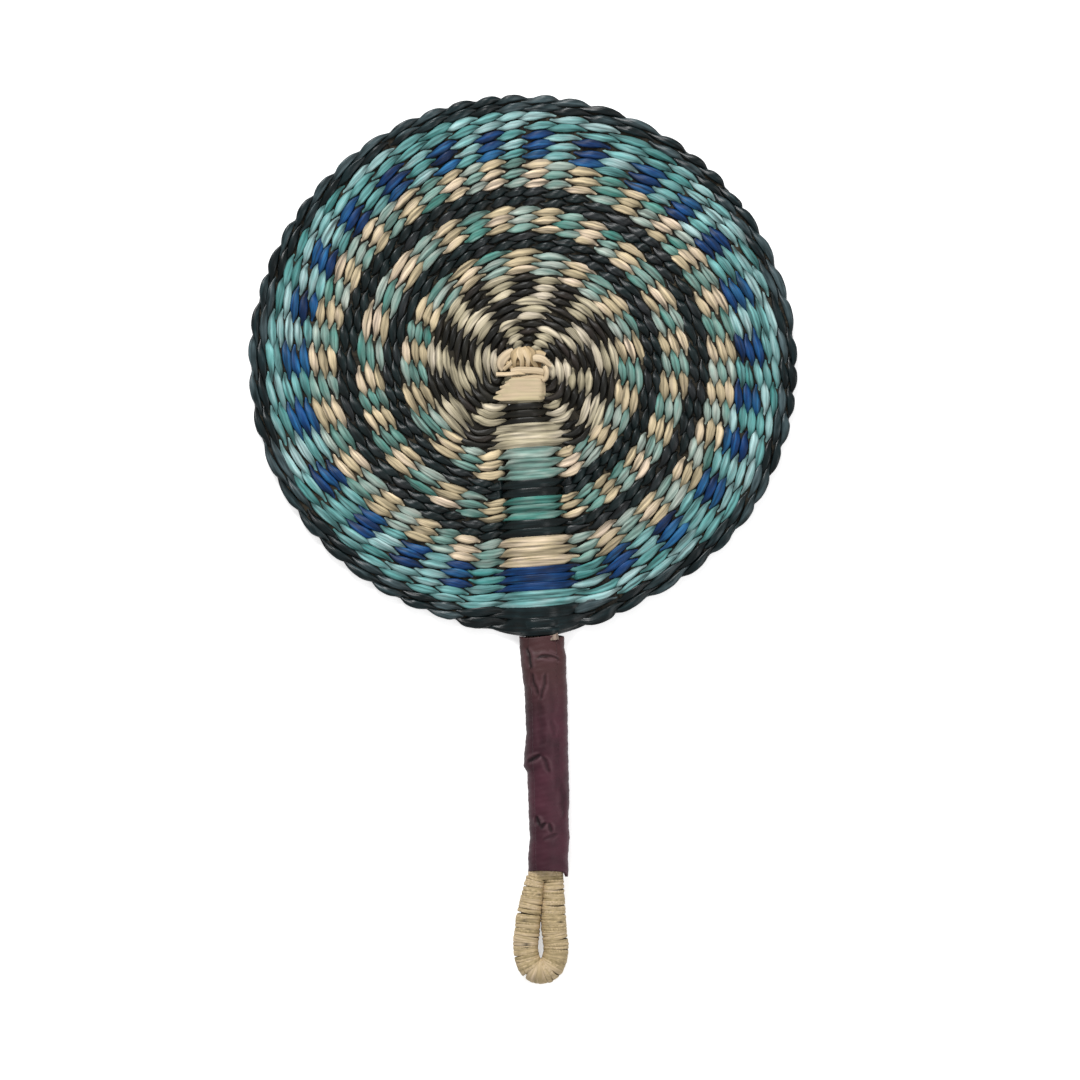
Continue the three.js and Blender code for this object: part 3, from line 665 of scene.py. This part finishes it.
bundle = []
STRAWS = 34
GOLDEN_ANGLE = 2.39996
for number in range(STRAWS):
    share = math.sqrt((number + 0.5) / STRAWS) * 0.88
    turn = number * GOLDEN_ANGLE
    u, v = share * math.cos(turn), share * math.sin(turn)
    inside = np.linspace(7.0, 127.0, 26)
    half, height = core_size(inside)
    half = half * (1 - 0.25 * smooth(inside, 108, 125))
    height = height * (1 - 0.12 * smooth(inside, 112, 126))
    rise = 0.7 * height if v > 0 else 0.18 * height
    blade = np.stack([u * half, -inside, CORE_BOTTOM + 0.3 * height + rise * v], axis=1)
    below = np.linspace(14.0, 86.0, 12)
    grip = from_grip(np.stack([u * grip_half(below) * 0.86, -below, GRIP_MID + 5.9 * v + 0 * below], axis=1))
    bundle.append(line(np.concatenate([blade, grip]), (1, 0, 0), 1.5, 1.25, (number * 0.61) % 1))
cut_end = [(4.6, -122.5, 9.4), (5.0, -125.5, 10.5), (5.2, -127.4, 11.7), (5.3, -129.0, 12.3)]
bundle.append(line(cut_end, (1, 0, 0), 2.2, 0.3, 0.3))
sweep_lines(bundle, "handle_straws", FINISH["bundle"], "bundle_straw", "handle_core", sides=8)

# %% [markdown]
# At the centre the straws are tied off in a knot: short tight loops over a core, a longer straw drawn
# round below them, a curl at the right and a cut end at the left. It sits on the crossed stakes. Its
# straws follow smooth lines through a few points.

# %% A smooth line through points
def through(points, per=24):
    """A smooth line through points, evenly spaced at the end."""
    points = np.asarray(points, float)
    padded = np.concatenate([[2 * points[0] - points[1]], points, [2 * points[-1] - points[-2]]])
    spans = []
    for a, b, c, d in zip(padded, padded[1:], padded[2:], padded[3:]):
        lengths = [max(np.linalg.norm(q - p), 1e-6) ** 0.5 for p, q in ((a, b), (b, c), (c, d))]
        t0, t1 = 0.0, lengths[0]
        t2, t3 = t1 + lengths[1], t1 + lengths[1] + lengths[2]
        t = np.linspace(t1, t2, per, endpoint=False)[:, None]
        ab = (t1 - t) / (t1 - t0) * a + (t - t0) / (t1 - t0) * b
        bc = (t2 - t) / (t2 - t1) * b + (t - t1) / (t2 - t1) * c
        cd = (t3 - t) / (t3 - t2) * c + (t - t2) / (t3 - t2) * d
        abc = (t2 - t) / (t2 - t0) * ab + (t - t0) / (t2 - t0) * bc
        bcd = (t3 - t) / (t3 - t1) * bc + (t - t1) / (t3 - t1) * cd
        spans.append((t2 - t) / (t2 - t1) * abc + (t - t1) / (t2 - t1) * bcd)
    return np.concatenate(spans + [points[-1:]])


# %% Centre knot
KNOT_LEVEL = 5.6
knot = []


def knot_straw(points, half_width, half_thick, tint):
    path = through(points, 8) + (0, 0, KNOT_LEVEL)
    along = np.gradient(path, axis=0)
    side = np.stack([-along[:, 1], along[:, 0], 0 * along[:, 0]], axis=1)
    knot.append(line(path, side, half_width, half_thick, tint))


# Painted shade: the core straw under the loops takes the darkest tint, so the gaps between them read as
# shadow.
knot_straw([(-9.0, 2.0, 0.8), (0.0, 3.2, 1.2), (9.0, 1.0, 0.8)], 3.6, 1.3, 0.02)
FINGERS = [
    # four places from the top of the knot to the foot of the loop
    ((-1.7, 7.7), (-3.3, 5.2), (-3.9, 2.3), (-4.0, -0.6)),
    ((-0.4, 8.5), (-0.8, 5.8), (-0.1, 2.5), (-0.3, -0.8)),
    ((1.3, 8.6), (2.2, 5.8), (2.8, 2.5), (2.3, -1.0)),
    ((2.5, 8.3), (4.8, 5.4), (4.8, 2.1), (6.8, -1.3)),
]
thick_middle = 1.1 + 0.95 * np.exp(-((np.linspace(0, 1, 25) - 0.3) / 0.25) ** 2)
for finger, tint in zip(FINGERS, (0.5, 0.65, 0.6, 0.45)):
    places = [(x, y, level) for (x, y), level in zip(finger, (1.3, 2.9, 3.0, 1.3))]
    knot_straw(places, thick_middle, 0.6, tint)
knot_straw([(-3.7, 7.4, 1.4), (-6.8, 5.7, 2.7), (-9.4, 3.2, 2.9), (-10.1, 1.0, 2.4), (-9.3, -1.2, 1.4)],
           1.0 + 1.4 * np.sin(np.linspace(0.4, 2.9, 33)), 0.6, 0.98)
knot_straw([(-8.0, 3.2, 2.2), (-6.4, 1.2, 2.7), (-5.1, -0.9, 1.8)], 1.0, 0.5, 0.5)
knot_straw([(-8.8, -1.1, 1.8), (-6.5, 0.7, 3.1), (-4.2, 3.0, 2.6)], 0.95, 0.5, 0.75)
knot_straw([(5.0, 4.6, 1.6), (8.0, 5.4, 2.2), (10.7, 4.0, 1.3)], 1.5, 0.6, 0.6)
knot_straw([(3.3, 2.0, 2.2), (6.4, 3.1, 3.4), (9.8, 2.2, 3.0), (13.1, -0.9, 1.2)],
           0.7 + 1.2 * np.sin(np.linspace(0.3, 2.9, 25)), 0.6, 0.92)
knot_straw([(-5.5, -2.3, 2.0), (-1.5, -1.9, 2.9), (2.5, -2.3, 3.0), (6.4, -2.8, 2.7), (9.8, -3.7, 1.6)],
           1.65, 0.6, 0.9)
knot_straw([(-12.5, -3.0, 0.8), (-9.0, -3.3, 1.8), (-5.8, -3.4, 2.4), (-2.5, -3.2, 3.1), (0.9, -3.4, 2.6)],
           1.1, 0.55, 0.8)
knot_straw([(-5.7, -5.4, 1.6), (-1.8, -6.0, 2.3), (2.2, -5.7, 2.5), (5.7, -5.6, 2.4), (9.2, -6.2, 1.6)],
           1.15, 0.5, 0.7)
knot_straw([(10.3, -1.0, 1.4), (11.1, -3.6, 2.4), (10.4, -6.5, 2.0), (8.9, -7.4, 1.4)], 1.25, 0.6, 0.9)
sweep_lines(knot, "knot_straws", FINISH["knot"], "natural_straw", "centre_knot", sides=12, groove=0.05,
            bluntness=0.8)

# %% [markdown]
# The sleeve is one sheet of soft leather, wrapped round the bundle with its edge lapped on the front. A
# plain tube would be too neat: the leather has a few short creases and a hitch in its left side, and
# its lower end is cut unevenly. It is a grid of points in angle and length, pushed in along each crease.

# %% Leather sleeve shape
WALL = 1.1
HALF_HEIGHT = 6.1  # of the bundle inside the leather
LAP = 8.0
AROUND, LENGTHWISE = 120, 180
CREASES = [
    # across the front from the axis, distance below the rim, run across, run down, bow, depth, half breadth
    (2.2, 10.4, 11.5, 0.7, 2.0, 0.75, 0.8),
    (-6.4, 9.5, 2.1, 11.4, 0.3, 0.6, 0.9),
    (-3.8, 21.4, 3.4, 12.2, -0.4, 0.5, 0.8),
    (-0.7, 22.6, -3.3, 15.0, 0.5, 0.45, 0.7),
    (-4.9, 56.3, 6.0, -3.8, 0.5, 0.7, 0.9),
    (-0.2, 59.0, 3.5, 9.1, 0.4, 0.45, 0.8),
    (-4.4, 85.5, 1.6, 5.0, 0.3, 0.8, 0.9),
    (-1.9, 87.6, 2.6, -3.0, 0.2, 0.6, 0.8),
    (0.9, 88.5, 1.6, 4.5, 0.3, 0.6, 0.8),
    (1.1, 93.3, 7.4, -3.4, 0.6, 0.3, 0.8),
    (6.5, 76.5, 1.0, 20.0, 0.4, 0.25, 1.0),
    (3.2, 42.0, 1.5, 9.0, 0.3, 0.2, 0.9),
    (-2.0, 40.0, 0.6, 26.0, 0.5, 0.16, 1.2),
    (4.5, 60.0, -0.8, 30.0, 0.6, 0.14, 1.3),
    (3.0, 28.0, 1.0, 18.0, 0.4, 0.14, 1.2),
]


def crease_depth(across, below, spread=1.0, lips=0.35):
    """Sum of all creases at a place: the dip, and the lips that rise beside it."""
    total = np.zeros_like(across)
    for x, y, run, down, bow, depth, breadth in CREASES:
        length = math.hypot(run, down)
        breadth = spread * breadth
        along = ((across - x) * run + (below - y) * down) / length
        off = ((across - x) * down - (below - y) * run) / length
        off = off - bow * (1 - (2 * along / length) ** 2) + 0.2 * np.sin(0.9 * along + x)
        window = np.exp(-np.clip(np.abs(along) - length / 3, 0, None) ** 2 / (0.1 * length))
        breadth = breadth * (0.35 + 0.65 * np.exp(-(2.2 * along / length) ** 2))
        dip = np.exp(-(off / breadth) ** 2) - lips * np.exp(-((np.abs(off) - 2 * breadth) / breadth) ** 2)
        total += depth * window * dip
    return total


# distance below the rim, how far the left and the right side stand out there
SIDES = np.array([(0, 0.4, -0.8), (5, 0.4, -0.6), (10, 0.4, 0.4), (18, 0.0, 0.5), (25, -0.5, 1.1),
                  (37, -0.6, 0.9), (45, -0.8, 0.8), (52, 0.2, 0.7), (60, 0.9, 0.7), (62.5, -0.7, 0.7),
                  (76, -0.9, 0.7), (84, -0.9, 0.0), (94, -1.2, 0.3), (101, -0.2, -0.6), (109, 0.0, -0.7)])
lap = LAP / HALF_HEIGHT
angle = np.linspace(math.pi / 2 - lap / 2, 2.5 * math.pi + lap / 2, AROUND)[:, None]
below = np.linspace(0, SLEEVE_LENGTH, LENGTHWISE)[None, :]
lift = smooth(angle, 2.5 * math.pi - 0.5 * lap, 2.5 * math.pi + 0.15 * lap)
half = grip_half(below)
left = np.clip(-np.cos(angle), 0, 1) ** 2
right = np.clip(np.cos(angle), 0, 1) ** 2
left_off, right_off = (np.interp(below, SIDES[:, 0], SIDES[:, i]) for i in (1, 2))
sides = left_off * left + right_off * right
off = 0.35 + 0.5 * lift + sides
off = off + 0.08 * np.sin(below * 0.9 + 3 * angle) + 0.05 * np.sin(below * 2.3 - 5 * angle)
front_x = (half + WALL) * np.cos(angle)
is_front = smooth(np.sin(angle), -0.1, 0.3)
whole_x, whole_y = front_x * np.ones_like(below), below * np.ones_like(angle)
hollow = crease_depth(whole_x, whole_y) * is_front
off = off - hollow
end = 0.5 * np.sin(2 * angle + 0.6) + 2.6 * np.exp(-((angle - 2 * math.pi - 0.25) / 0.3) ** 2)
down = below + (below / SLEEVE_LENGTH) ** 12 * end
top = 0.35 * np.sin(3 * angle + 1.0) - 0.5 + 2.6 * np.exp(-((angle - 2 * math.pi - 1.05) / 0.35) ** 2)
down = down + (1 - below / SLEEVE_LENGTH) ** 14 * top


def sleeve_layer(extra):
    x = (half + off + extra) * np.cos(angle)
    flat = 1 - smooth(below, 0, 16)
    z = GRIP_MID - 1.1 * flat + (HALF_HEIGHT - 1.3 * flat + off + extra) * np.sin(angle)
    z = np.maximum(z * np.ones_like(x), 0.05 + WALL - extra)
    return from_grip(np.stack([x, -down * np.ones_like(x), z], axis=-1).reshape(-1, 3))


outer, inner = sleeve_layer(WALL), sleeve_layer(0.0)
print("sleeve grid:", AROUND, "x", LENGTHWISE, "with", len(CREASES), "creases")

# %% Leather sleeve mesh
def shell(outer, inner, rows, columns):
    """Quads of an open sheet with a thickness: outside, inside and the four edges."""
    count = rows * columns
    faces = []

    def at(i, j):
        return i * columns + j

    def close(a, b):
        faces.append((a, b, count + b, count + a))

    for i in range(rows - 1):
        for j in range(columns - 1):
            a, b, c, d = at(i, j), at(i + 1, j), at(i + 1, j + 1), at(i, j + 1)
            faces.append((a, b, c, d))
            faces.append((count + d, count + c, count + b, count + a))
    for i in range(rows - 1):
        close(at(i + 1, 0), at(i, 0))
        close(at(i, columns - 1), at(i + 1, columns - 1))
    for j in range(columns - 1):
        close(at(0, j), at(0, j + 1))
        close(at(rows - 1, j + 1), at(rows - 1, j))
    mesh = bpy.data.meshes.new("sleeve")
    mesh.from_pydata((np.concatenate([outer, inner]) * MM).tolist(), [], faces)
    mesh.polygons.foreach_set("use_smooth", [True] * len(faces))
    face_outward(mesh)
    return mesh


sleeve_mesh = shell(outer, inner, AROUND, LENGTHWISE)
# Painted shade in the creases and down the left side, a painted highlight on the crease lips, and a browner
# tone at the top of the front, kept on the mesh for the finish.
crease_shade = crease_depth(whole_x, whole_y, 0.9, 0.0) * is_front
shadow = np.clip(1.6 * crease_shade, 0, 0.9) + 0.4 * left * is_front
tone_and_painted_light = {"hollow": shadow, "painted_lip_highlight": np.clip(-4 * hollow, 0, 1), "brown": (1 - smooth(below, 14, 42)) * is_front}
for key, value in tone_and_painted_light.items():
    layer = sleeve_mesh.attributes.new(key, "FLOAT", "POINT")
    layer.data.foreach_set("value", np.concatenate([(value * np.ones_like(shadow)).ravel()] * 2))
print("sleeve faces:", len(sleeve_mesh.polygons))

# %% [markdown]
# The leather is maroon and browner at the top of the front, with a fine pebble and a satin shine. Two
# scales of noise on Object coordinates give the tone and the grain. Painted shade darkens its creases and
# its left side, and a painted highlight lightens the lips beside each crease; the depth of each crease is
# kept on the mesh for both.

# %% Leather finish
leather, tree, shader = new_material("maroon leather")
place = tree.nodes.new("ShaderNodeTexCoord").outputs["Object"]
tone = add_node(tree, "ShaderNodeTexNoise", Vector=place, Scale=70.0, Detail=4.0).outputs[0]
tone = add_node(tree, "ShaderNodeMapRange", Value=tone, From_Min=0.3, From_Max=0.7)
base = mix_colour(tree, "MIX", tone.outputs[0], linear(54, 25, 35), linear(80, 40, 53))
# Mixed into the colour: a browner tone at the top, a painted highlight on the crease lips, and painted shade
# in the creases and down the left side.
TONE_AND_PAINTED_LIGHT = (("brown", 0.55, (72, 48, 42)), ("painted_lip_highlight", 0.4, (112, 84, 90)), ("hollow", 0.9, (18, 8, 11)))
for key, share, shade in TONE_AND_PAINTED_LIGHT:
    amount = maths(tree, "MULTIPLY", from_mesh(tree, key), share)
    amount = add_node(tree, "ShaderNodeClamp", Value=amount, Max=share)
    base = mix_colour(tree, "MIX", amount.outputs[0], base, linear(*shade))
pebble = add_node(tree, "ShaderNodeTexVoronoi", Vector=place, Scale=1300.0).outputs["Distance"]
fine = add_node(tree, "ShaderNodeTexNoise", Vector=place, Scale=420.0, Detail=5.0).outputs[0]
height = maths(tree, "ADD", maths(tree, "MULTIPLY", pebble, 0.5), fine)
raised = add_node(tree, "ShaderNodeBump", Height=height, Strength=0.25, Distance=0.0003)
rough = add_node(tree, "ShaderNodeMapRange", Value=fine, To_Min=0.42, To_Max=0.62)
feed_all(tree, shader, Base_Color=base, Roughness=rough.outputs[0], Specular_IOR_Level=0.25,
         Normal=raised.outputs[0])
sleeve_mesh.materials.append(leather)
finish_piece(sleeve_mesh, "sleeve_leather", "leather", "leather_sleeve")
print("leather finish:", len(tree.nodes), "nodes")

# %% [markdown]
# The hanging loop is a thin bundle, bent back on itself. Its path stays close to the solid: down the
# left leg, round the bottom and up the right. The straws of the bundle lie round that path.

# %% The path of the loop
LOOP_POINTS = [
    (-4.5, 20), (-4.5, 10), (-4.9, 0), (-6.8, -5.6), (-8.3, -13), (-10.4, -23), (-11.1, -29), (-11.9, -34),
    (-11.2, -41), (-9.0, -45.5), (-5.2, -47.0), (-1.2, -45.8), (1.6, -41), (2.3, -34), (1.6, -29),
    (1.5, -23), (1.7, -13), (2.0, -5.6), (2.6, 0), (4.5, 10), (4.5, 20),
]
route = through(LOOP_POINTS)
route_length = np.concatenate([[0], np.cumsum(np.linalg.norm(np.diff(route, axis=0), axis=1))])


def on_route(length):
    """The place at that length of the path, and the way along it."""
    def spot(where):
        return np.stack([np.interp(where, route_length, route[:, i]) for i in (0, 1)], axis=-1)

    return spot(length), unit(spot(length + 0.3) - spot(length - 0.3))


NECK_RADIUS = 2.9


def loop_radius(y):
    return NECK_RADIUS + 2.0 * np.clip(-y / 24, 0, 1) ** 0.62


print("loop path:", round(route_length[-1]), "mm")

# %% Loop bundle
def round_route(length, turn, reach):
    """Points round the route, in the frame, and the way out at each."""
    spot, along = on_route(length)
    out = np.stack([-along[:, 1] * np.cos(turn), along[:, 0] * np.cos(turn), np.sin(turn)], axis=1)
    centre = np.stack([spot[:, 0], spot[:, 1] - SLEEVE_LENGTH, np.full(len(spot), GRIP_MID)], axis=1)
    points = centre + out * np.asarray(reach)[:, None]
    tip = from_grip(points + out) - from_grip(points)
    return from_grip(points), tip


loop_lines = []
length = np.linspace(0, route_length[-1], 90)
for number in range(9):
    share = 0.0 if number == 0 else 0.62
    turn = number * 2 * math.pi / 8 + 0.03 * length
    reach = share * loop_radius(on_route(length)[0][:, 1])
    points, out = round_route(length, turn, reach)
    loop_lines.append(line(points, out, 1.3, 1.3, (number * 0.37) % 1))
# The loop's straws take the same stake finish, dark as painted shade under the raffia.
sweep_lines(loop_lines, "loop_straws", FINISH["stake"], "bundle_straw", "loop_core", sides=8)

# %% [markdown]
# A flat strand of raffia is wound round the loop from one leg to the other. Its turns overlap like
# shingles on the outside of the bend, and here and there a spot of painted shade stands in for a dark gap.
# The strand is one line round the path of the loop. A second, short winding holds both legs under the
# leather.

# %% Raffia binding
rng = np.random.default_rng(41)
legs = np.flatnonzero(route[:, 1] < -3.6)
start, end = route_length[legs[0]], route_length[legs[-1]]
TURNS = 112
turns = np.linspace(0, TURNS, TURNS * 14)
uneven = np.interp(turns, np.arange(TURNS * 2 + 1) / 2, rng.normal(0, 0.55, TURNS * 2 + 1))
length = start + (end - start) * np.clip((turns + uneven) / TURNS, 0, 1)
reach = loop_radius(on_route(length)[0][:, 1]) + 0.75
reach = reach + np.interp(turns, np.arange(TURNS * 2 + 1) / 2, rng.normal(0, 0.1, TURNS * 2 + 1))
points, out = round_route(length, 2 * math.pi * turns, reach)
side = unit(np.cross(np.gradient(points, axis=0), out))
pitch = (end - start) / TURNS
breadth = pitch * (1.9 + np.interp(turns, np.arange(TURNS + 1), rng.normal(0, 0.12, TURNS + 1)))
breadth = breadth * (1 + 0.5 * smooth(-on_route(length)[0][:, 1], 36, 44))
tint = np.interp(turns, np.arange(TURNS + 1), rng.uniform(0.2, 0.8, TURNS + 1))
# Painted shade: a few random spots of the strand are darkened, standing in for shadowed gaps between turns.
gap_shade_specks = np.where(rng.random(len(turns)) < 0.018, rng.uniform(0.8, 1.6, len(turns)), 0.0)
binding = line(points, side, breadth / 2, 0.36, tint, gap_shade_specks)
sweep_lines([binding], "loop_raffia", FINISH["raffia"], "raffia", "loop_binding", sides=10, groove=0.08)

# %% Neck whipping
NECK_TURNS = 3
turns = np.linspace(0, NECK_TURNS, NECK_TURNS * 40)
angle = 2 * math.pi * turns
reach = NECK_RADIUS + 0.9
middle = 4.0 * np.tanh(4 * np.cos(angle)) - 1.6
points = np.stack([middle + reach * np.cos(angle), -SLEEVE_LENGTH - 0.2 - 1.3 * turns,
                   GRIP_MID + reach * np.sin(angle)], axis=1)
out = np.stack([np.cos(angle), 0 * angle, np.sin(angle)], axis=1)
points, out = from_grip(points), from_grip(points + out) - from_grip(points)
side = unit(np.cross(np.gradient(points, axis=0), out))
whipping = line(points, side, 1.05, 0.5, 0.5 + 0.3 * np.sin(turns * 2.3))
sweep_lines([whipping], "neck_raffia", FINISH["raffia"], "raffia", "neck_whipping", sides=14, groove=0.08)

# %% [markdown]
# The fan lies on a plain pale floor under soft light. The floor is white by its own colour, with a
# little glow that only the camera and reflections see, so the light on the fan stays at a plain level
# and its shadow still shows.

# %% Floor
def floor_finish():
    material, tree, shader = new_material("pale floor")
    rays = tree.nodes.new("ShaderNodeLightPath").outputs
    seen = maths(tree, "ADD", rays["Is Camera Ray"], rays["Is Glossy Ray"])
    seen = maths(tree, "ADD", seen, rays["Is Transmission Ray"])
    feed_all(tree, shader, Base_Color=(0.9, 0.9, 0.9, 1), Roughness=0.9, Specular_IOR_Level=0.1,
             Emission_Color=(1, 1, 1, 1), Emission_Strength=maths(tree, "MULTIPLY", seen, 0.55))
    return material


floor_mesh = bpy.data.meshes.new("floor")
floor_mesh.from_pydata([(-4, -4, 0), (4, -4, 0), (4, 4, 0), (-4, 4, 0)], [], [(0, 1, 2, 3)])
floor_mesh.materials.append(floor_finish())
floor = bpy.data.objects.new("floor", floor_mesh)
floor.location.z = -0.0002
scene.collection.objects.link(floor)
print("floor: 8 m square")

# %% Light
world = bpy.data.worlds.new("studio")
world.use_nodes = True
scene.world = world
feed_all(world.node_tree, world.node_tree.nodes["Background"], Color=(1, 1, 1, 1), Strength=0.45)


def soft_box(name, place, size, power):
    lamp = bpy.data.lights.new(name, "AREA")
    lamp.size = size
    lamp.energy = power
    holder = bpy.data.objects.new(name, lamp)
    holder.location = place
    aim = Vector((0, -0.08, 0)) - Vector(place)
    holder.rotation_euler = aim.to_track_quat("-Z", "Y").to_euler()
    scene.collection.objects.link(holder)


soft_box("key light", (-0.35, 1.5, 1.4), 0.8, 36)
soft_box("fill light", (1.2, -0.6, 1.6), 1.2, 9)
scene.view_settings.view_transform = "Standard"

# %% [markdown]
# The camera looks straight down from far away with a long lens, and is turned a little, because the
# handle points slightly to the right in the picture.

# %% Camera
TURN = math.radians(4.3)
FRAME = 1080  # pixels along each side of the picture
CENTRE = (522.5, 366)  # pixel at the middle of the blade
SCALE = 0.4686  # mm for one pixel
right = Vector((math.cos(TURN), -math.sin(TURN), 0))
up = Vector((math.sin(TURN), math.cos(TURN), 0))
target = (right * (FRAME / 2 - CENTRE[0]) - up * (FRAME / 2 - CENTRE[1])) * SCALE * MM
camera = bpy.data.cameras.new("camera")
camera.lens = 150
camera.sensor_width = 36
holder = bpy.data.objects.new("camera", camera)
distance = FRAME * SCALE * MM * camera.lens / camera.sensor_width
holder.location = (target.x, target.y, 0.005 + distance)
holder.rotation_euler = (0, 0, -TURN)
scene.collection.objects.link(holder)
scene.camera = holder
print("camera height:", round(distance, 2), "m")
